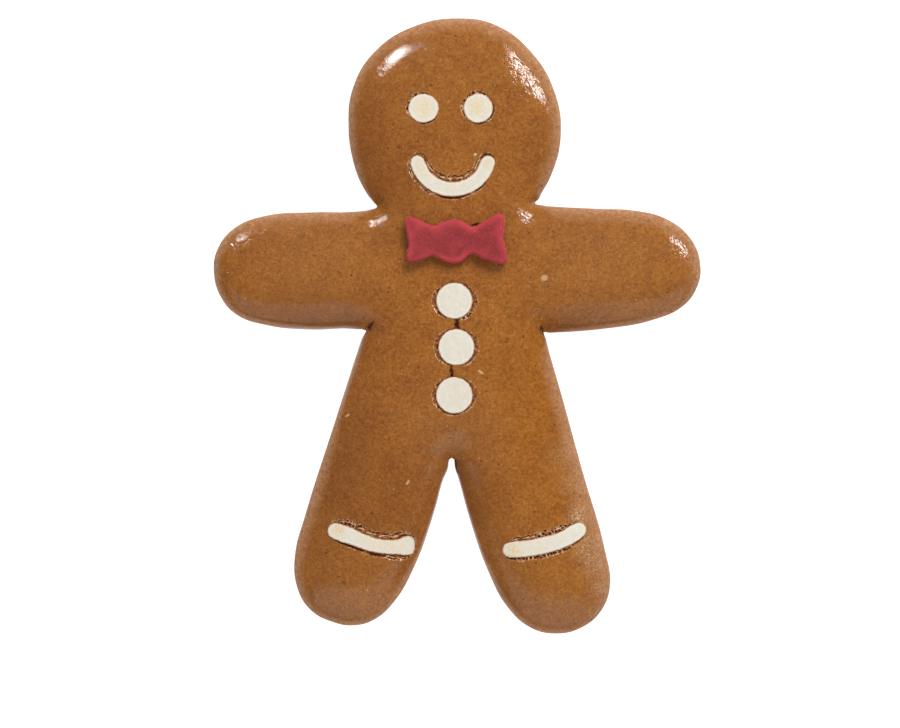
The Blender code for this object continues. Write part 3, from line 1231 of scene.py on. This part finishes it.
            # under the icing the dough is cut away; at its edge the dough stays up and touches it
            pocket = -(icing.pocket + 0.05) * (1 - ramp(-0.35, -0.15, side))
            width, look = icing.opening(here)
            width = width * (1 + 0.22 * waves(here, 0.9, 31)) + 0.06 * waves(here, 0.4, 32)
            wide = ramp(0.1, 0.25, width)
            open_here = wide * (1 - ramp(-0.06, 0.1, side - width))
            lane = np.stack((icing.outline.foot(here).along, side), 1)
            pit, strand = np.zeros((2, len(here)))
            for kind, (pits, threads) in torn_patterns(lane, side / np.maximum(width, 0.1)).items():
                pit[look == kind.value] = pits[look == kind.value]
                strand[look == kind.value] = threads[look == kind.value]
            pit *= 1 - 0.8 * strand
            depth = open_here * (self.tear_floor + self.pit_depth * pit - self.strand_rise * strand)
            lip = ridge(side - width - 0.12, 0.12) * ramp(0.2, 0.5, width)
            lip *= ramp(-0.15, 0.45, waves(here, 0.55, 40))
            lowest = np.minimum(pocket, -depth)
            height[close] = np.minimum(height[close], lowest) + self.lip_rise * lip
            torn[close] = np.maximum(torn[close], open_here)
            # pits are painted dark: part the crumb's own colour, part painted shade
            hollow[close] = np.maximum(hollow[close], open_here * ramp(0.15, 0.7, pit))
            # the lip's pale line is in part a painted highlight on its sharp crest
            strand = np.maximum(open_here * strand, lip * 0.7)
            thread[close] = np.maximum(thread[close], 0.85 * strand)
        for crack in self.cracks:
            gap = places - (crack.x, crack.y)
            side = gap[:, 0] - 0.25 * waves(places, 0.8, 41)
            half = crack.width / 2 * (1 - 0.25 * np.clip(gap[:, 1], -1, 1))
            ends = 1 - ramp(crack.half_length - 0.2, crack.half_length + 0.3, np.abs(gap[:, 1]))
            split = upper * ends * (1 - ramp(half - 0.1, half + 0.45, np.abs(side)))
            deep = upper * ends * (1 - ramp(half - 0.35, half, np.abs(side)))
            torn = np.maximum(torn, split)
            # the crack's depth is painted dark as painted shade
            hollow = np.maximum(hollow, deep * ramp(-0.6, 0.2, waves(places, 0.7, 42)))
            height = np.minimum(height, -self.crack_depth * deep)
        return {"height": height, "torn": torn, "hollow": hollow, "thread": thread}


# ---- the icing


@dataclass
class Icing:
    """One piece of sugar paste pressed into the dough.

    Attributes:
        node: The CAD node that it stands for.
        tears: Where the dough pulled away from it.
        toasts: Where it toasted brown.
        spreads: Where it squeezed out past its outline.
        pales: Where its face is painted whiter, as painted light.
        proud: How far its face stands above the dough.
        pocket: How deep it sits.
        rounding: Radius of its upper edge.
        snug: The gap to the dough where nothing tore.
        grain: Size of its faces.
        seed: Which of the uneven patterns it has.
    """

    node: str
    tears: tuple[Tear, ...] = ()
    toasts: Spots = ()
    spreads: Spots = ()
    pales: Spots = ()
    proud: float = 0.3
    pocket: float = 1.3
    rounding: float = 0.35
    snug: float = 0.08
    grain: float = 0.16
    seed: int = 1

    def __post_init__(self) -> None:
        """Reads the outline from the frame."""
        self.outline = node_outline(self.node, 0.12)

    def gap(self, places: Array) -> Array:
        """Measures how far points are outside the icing's edge.

        Args:
            places: Points as rows of x and y.

        Returns:
            The distances, roughly where they are more than `BESIDE`.
        """
        reach = BESIDE + 1
        low, high = self.outline.points.min(0) - reach, self.outline.points.max(0) + reach
        near = ((places > low) & (places < high)).all(1)
        result = np.full(len(places), 2 * reach)
        if near.any():
            result[near] = -self.outline.foot(places[near]).inset
        return result

    def opening(self, places: Array) -> tuple[Array, Array]:
        """Looks up the nearest tears.

        Args:
            places: Points as rows of x and y.

        Returns:
            How far the dough stands off the icing's edge next to each point, and the number
            of the look that it has there.
        """
        spot = self.outline.foot(places).spot
        width = self.snug * (1 + waves(spot, 1.3, 80 + self.seed))
        look = np.full(len(places), Look.SNUG.value)
        for tear in self.tears:
            here = tear.width * hump(spot, tear.x, tear.y, tear.reach)
            look[here > width] = tear.look.value
            width = np.maximum(width, here)
        return width, look

    def build(self, dough: Dough, material: Material) -> None:
        """Cuts the icing and lays it in the dough.

        Args:
            dough: What it is pressed into.
            material: What it is made of.
        """
        thick = self.pocket + self.proud
        piece = raise_slab(self.node + "_icing", self.outline, thick, self.grain)
        plain = places_of(piece.data.vertices, "co")
        foot = self.outline.foot(plain[:, :2])
        depth = np.maximum(foot.inset, 0.0)
        wobble = uneven(foot.spot, (0.06, 1.3, 90 + self.seed), (0.05, 0.5, 91))
        wobble += spotted(foot.spot, self.spreads)
        places = plain[:, :2] + foot.outward * (wobble * (1 - ramp(0.0, 1.0, depth)))[:, None]
        share = np.clip(plain[:, 2] / thick, 0, 1)
        left = np.clip(1 - depth / self.rounding, 0, 1)
        drop = self.rounding * (1 - np.sqrt(np.clip(1 - left**2, 0, 1)))
        rim = -0.02 * ridge(depth - 1.1, 0.3)
        rough = uneven(places, (0.03, 0.9, 95 + self.seed), (0.02, 2.5, 96))
        top = self.proud - drop + (rim + rough) * (1 - left)
        face = dough.level(places)
        height = face - self.pocket + share * (self.pocket + top)
        set_positions(piece, np.column_stack((places, height)))
        # painted light: the rounded edge and the given patches are painted whiter
        pale = spotted(places, self.pales)
        paint(piece, "whiter", np.clip(1 - ramp(0.3, 0.9, depth) + pale, 0, 1))
        paint(piece, "toasted", np.clip(spotted(places, self.toasts), 0, 1) * ramp(0.0, 0.6, depth))
        stained = 1 - ramp(0.0, 0.4, depth + 0.08 * waves(foot.spot, 0.7, 92))
        paint(piece, "stained", 0.85 * stained)
        finish_piece(piece, self.node, material)


@dataclass
class BowTie:
    """The fondant bow tie, laid on the dough with its wings a little lifted.

    Attributes:
        node: The CAD node that it stands for.
        thick: Thickness of the rolled fondant.
        rounding: Radius of its upper edge.
        grain: Size of its faces.
        lift: How far the tips of its wings stand up.
        spreads: Where it bulged past its outline.
    """

    node: str = "bow_tie"
    thick: float = 2.2
    rounding: float = 0.7
    grain: float = 0.24
    lift: float = 0.8
    spreads: Spots = each(Spot, (6.2, 17.2, 1.4, 0.5), (8.3, 16.6, 1.6, 0.35), (-3.7, 24.9, 1.3, 0.35))

    def build(self, dough: Dough, material: Material) -> None:
        """Cuts the bow tie and lays it on the dough.

        Args:
            dough: What it lies on.
            material: What it is made of.
        """
        outline = node_outline(self.node, 0.2)
        piece = raise_slab("bow_tie_fondant", outline, self.thick, self.grain)
        plain = places_of(piece.data.vertices, "co")
        foot = outline.foot(plain[:, :2])
        depth = np.maximum(foot.inset, 0.0)
        wobble = uneven(foot.spot, (0.1, 2.2, 101), (0.06, 0.6, 102))
        wobble += spotted(foot.spot, self.spreads)
        wobble *= 1 - ramp(0.0, 1.5, depth)
        places = plain[:, :2] + foot.outward * wobble[:, None]
        share = np.clip(plain[:, 2] / self.thick, 0, 1)
        left = np.clip(1 - depth / self.rounding, 0, 1)
        drop = self.rounding * (1 - np.sqrt(np.clip(1 - left**2, 0, 1)))
        rough = uneven(places, (0.08, 3.5, 103), (0.03, 1.2, 104))
        wing = ramp(3.0, 12.5, np.abs(places[:, 0] + 0.6)) * self.lift
        top = self.thick - drop + rough * (1 - left)
        # the knot's lower edge was pressed down in a slanting facet
        facet = (1 - ramp(0.9, 1.9, depth)) * hump(places, -0.9, 15.6, 2.6)
        facet *= ramp(0.1, 0.5, hump(places, -0.9, 15.6, 2.6))
        top -= 0.55 * facet * (1 - depth / 1.9)
        under = 0.8 * left**2
        height = dough.level(places) + 0.05 + wing + under * (1 - share) + share * top
        set_positions(piece, np.column_stack((places, height)))
        # the edges are painted paler, the upper ones and the knot's lower facet palest: painted light
        edge_lit = 0.75 + 0.22 * foot.outward[:, 1]
        edge = edge_lit * ridge(depth, 1.5) + facet
        paint(piece, "edge", np.clip(edge + 0.3 * waves(places, 4.0, 105), 0, 1))
        finish_piece(piece, self.node, material)


# ---- the studio


class Shows(Enum):
    """What a studio light is seen in."""

    SHADE = "shade"
    GLINT = "glint"


@dataclass(frozen=True)
class Softbox:
    """A rectangular studio light.

    Attributes:
        name: Its name.
        toward: Where it stands, as steps across and along for each step up.
        away: Distance from the cookie in metres.
        size: Its two sides in metres.
        radiance: How bright its face is, where white paper in the scene is 1.
        shows: Whether it shades the cookie or glints in its glaze.
        fade: The share of its face that dims towards its upper side.
    """

    name: str
    toward: tuple[float, float]
    away: float
    size: tuple[float, float]
    radiance: float
    shows: Shows
    fade: float = 0.0

    def place(self) -> None:
        """Hangs the light, facing the cookie."""
        data = bpy.data.lights.new(self.name, "AREA")
        data.shape = "RECTANGLE"
        data.size, data.size_y = self.size
        data.energy = self.radiance * math.pi * self.size[0] * self.size[1]
        light = bpy.data.objects.new(self.name, data)
        bpy.context.scene.collection.objects.link(light)
        facing = Vector((*self.toward, 1.0)).normalized()
        light.location = facing * self.away
        light.rotation_euler = facing.to_track_quat("Z", "Y").to_euler()
        light.visible_camera = False
        light.visible_glossy = self.shows is Shows.GLINT
        light.visible_diffuse = self.shows is Shows.SHADE
        if self.fade:
            data.use_nodes = True
            tree = data.node_tree
            tree.nodes.clear()
            spot = add_node(tree, "NewGeometry", out="Parametric")
            sockets = {0: spot, 1: (1.0, 1.0, 0.0)}
            low = add_node(tree, "VectorMath", sockets, out=1, operation="DOT_PRODUCT")
            glow = add_node(tree, "MapRange", {0: low, 2: self.fade})
            face = add_node(tree, "Emission", {"Strength": glow})
            add_node(tree, "OutputLight", {"Surface": face})


@dataclass(frozen=True)
class Studio:
    """The pale table, the lights and the camera.

    Attributes:
        aim: The point below the camera, across and along.
        view_width: Width of the table that the camera sees.
        focus: Height at which that width is taken.
        camera_height: Height of the camera above the table in metres.
        lights: The lights round it.
    """

    aim: tuple[float, float] = (-1.74, -9.28)
    view_width: float = 219.46
    focus: float = 3.75
    camera_height: float = 2.0
    lights: tuple[Softbox, ...] = (
        Softbox("key_box", (0.40, 1.10), 1.2, (0.55, 0.45), 16.4, Shows.SHADE),
        Softbox("overhead_box", (-0.1, 0.15), 1.6, (0.9, 0.9), 1.0, Shows.SHADE),
        Softbox("front_box", (-0.1, -0.95), 1.3, (2.2, 1.25), 1.15, Shows.SHADE),
        Softbox("left_box", (-0.523, 0.762), 1.2, (0.2, 0.28), 38.0, Shows.GLINT),
        Softbox("right_strip", (0.66, 0.47), 1.3, (0.36, 0.2), 42.0, Shows.GLINT),
        Softbox("front_card", (0.0, -0.95), 1.3, (2.2, 1.25), 0.75, Shows.GLINT, 0.45),
    )

    def table(self) -> Piece:
        """Lays the pale table top, faintly lit from below like a light table.

        Returns:
            The table top.
        """
        bpy.ops.object.select_all(action="DESELECT")
        bpy.ops.mesh.primitive_plane_add(size=6.0)
        top = bpy.context.active_object
        top.name = "table_top"
        r = Recipe("white_table_board")
        # smooth white board: all but even, so that only the cookie is looked at
        shade = r.coats("#B4B3B2", (r.clouds(400.0, 0.3, 0.7), "#B7B6B5"))
        sockets = {"Base Color": shade, "Roughness": 0.9, "Specular IOR Level": 0.1}
        sockets |= {"Emission Color": "#FFFFFF", "Emission Strength": 0.9}
        top.data.materials.append(r.close(sockets))
        return top

    def camera(self) -> None:
        """Hangs the camera straight above the cookie."""
        data = bpy.data.cameras.new("top_camera")
        camera = bpy.data.objects.new("top_camera", data)
        bpy.context.scene.collection.objects.link(camera)
        camera.location = (self.aim[0] * MM, self.aim[1] * MM, self.camera_height)
        data.sensor_width = 36.0
        reach = self.camera_height / MM - self.focus
        data.lens = data.sensor_width * reach / self.view_width
        data.clip_end = 20.0
        bpy.context.scene.camera = camera

    def surround(self) -> None:
        """Gives the room a soft dim fill, and a pale wall where the camera sees past the table."""
        world = bpy.data.worlds.new("studio_room")
        world.use_nodes = True
        tree = world.node_tree
        tree.nodes.clear()
        seen = add_node(tree, "LightPath", out="Is Camera Ray")
        strength = add_node(tree, "MapRange", {0: seen, 3: 0.12, 4: 0.95})
        sockets = {"Color": "#FFFFFF", "Strength": strength}
        add_node(tree, "OutputWorld", {"Surface": add_node(tree, "Background", sockets)})
        bpy.context.scene.world = world

    def build(self) -> None:
        """Sets the whole studio up."""
        self.camera()
        self.surround()
        for light in self.lights:
            light.place()
        self.table()
        bpy.context.scene.view_settings.view_transform = "Standard"


# ---- the cookie


def icings() -> list[Icing]:
    """Lists the pressed-in icings with their tears and toasted spots.

    Returns:
        The icings, from the eyes down to the ankles.
    """
    return [
        Icing(
            "eye_left",
            tears(Look.HOLES, (-9.5, 56.3, 1.8, 0.45), (-11.9, 53.5, 1.6, 0.45))
            + tears(Look.MOAT, (-7, 49.6, 2, 0.3)),
            toasts=each(Spot, (-8.1, 53, 1.6, 0.75)),
            seed=1,
        ),
        Icing(
            "eye_right",
            tears(Look.HOLES, (1.6, 53.6, 2, 0.5), (4.4, 56.5, 2.2, 0.65))
            + tears(Look.MOAT, (8.6, 52, 1.8, 0.4), (5.5, 49.4, 1.2, 0.35)),
            toasts=each(Spot, (4.9, 53.4, 1.6, 0.8)),
            seed=2,
        ),
        Icing(
            "smile",
            tears(
                Look.LACE,
                (-8.2, 41.2, 1.8, 0.7), (-6.6, 37.9, 2.2, 1.05), (-4, 35.7, 2.2, 1.4),
                (-0.8, 35, 2.4, 1.7), (2.6, 36, 2.2, 1.4), (4.9, 39, 2, 0.95),
                (-10.4, 37, 2.8, 0.75), (-7, 33.4, 2.6, 0.7),
            )
            + tears(Look.MOAT, (6.6, 42, 1.2, 0.9), (-1.5, 31.4, 4, 0.6), (5, 33.5, 2, 0.4)),
            toasts=each(Spot, (7.3, 39.6, 0.9, 0.65), (-8.5, 38.5, 2, 0.35), (-0.5, 33.2, 3, 0.15)),
            seed=3,
        ),
        Icing(
            "button_top",
            tears(Look.CRUMB, (-5.1, 6, 2.6, 0.9), (3.8, 6.2, 2.8, 1.1), (1.5, 10.2, 1.2, 0.4))
            + tears(Look.HOLES, (2.2, 2.8, 1.4, 0.8)),
            seed=4,
        ),
        Icing(
            "button_middle",
            tears(
                Look.CRUMB,
                (-4.6, -5.2, 2.8, 1), (4.2, -5.2, 2.8, 1), (3, -8.6, 1.4, 0.6),
                (-3.5, -8.6, 1.4, 0.5),
            ),
            seed=5,
        ),
        Icing(
            "button_bottom",
            tears(Look.CRUMB, (-5.2, -16.9, 2.8, 0.85), (3.8, -16.6, 2.8, 0.9), (-2, -21, 2, 0.45)),
            toasts=each(Spot, (0.5, -18.5, 2, 0.15)),
            seed=6,
        ),
        Icing(
            "ankle_band_left",
            tears(
                Look.LACE,
                (-28.6, -47.7, 1.4, 0.9), (-23, -50.3, 2.4, 1.6), (-18.5, -51.8, 2.6, 1.7),
                (-14, -51.9, 2.2, 1.5), (-15, -56.2, 2.4, 0.95),
            )
            + tears(Look.HOLES, (-26.3, -48.6, 2, 1.4))
            + tears(Look.MOAT, (-25, -53.4, 3, 0.7), (-20, -55.4, 3.2, 0.8)),
            toasts=each(Spot, (-28.9, -49.6, 1.1, 1.1), (-15.5, -53.8, 3.2, 0.45), (-21.5, -52.2, 2, 0.25)),
            spreads=each(Spot, (-10.8, -52.4, 1.8, 0.45), (-14.5, -56.3, 3.2, -0.3)),
            pales=each(Spot, (-12.5, -54, 3, 1), (-21, -52, 4.5, 0.5), (-28.9, -49.6, 1.5, 0.5)),
            seed=7,
        ),
        Icing(
            "ankle_band_right",
            tears(Look.LACE, (15, -52.2, 1.6, 0.9), (18, -52, 2, 1.2), (27.5, -49, 1.4, 0.8))
            + tears(
                Look.HOLES,
                (21, -51.4, 2.2, 1.5), (25, -50.1, 2, 1.4), (16.5, -56.4, 2.6, 0.9),
                (20.5, -55.8, 2.6, 0.9), (25, -54.2, 2.6, 0.9),
            )
            + tears(Look.MOAT, (14.4, -57.2, 1.3, 0.8))
            + tears(Look.CRUMB, (28.5, -52.5, 1.8, 0.6)),
            toasts=each(Spot, (13.6, -54.6, 1.3, 1), (20, -53.6, 3, 0.3)),
            pales=each(Spot, (13.4, -54.5, 1.6, 0.8), (20.5, -53.8, 4.5, 0.7)),
            seed=8,
        ),
    ]


def main() -> None:
    """Builds the cookie and its studio; each piece's face count goes to the log."""
    logging.basicConfig(level=logging.INFO, format="%(name)s: %(message)s")
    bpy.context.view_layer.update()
    gingerbread = GlazedGingerbread().make()
    paste = SugarPaste().make()
    fondant = PinkFondant().make()
    pressed = icings()
    dough = Dough(pressed)
    dough.build(gingerbread)
    for icing in pressed:
        icing.build(dough, paste)
    BowTie().build(dough, fondant)
    Studio().build()


if __name__ == "__main__":
    main()
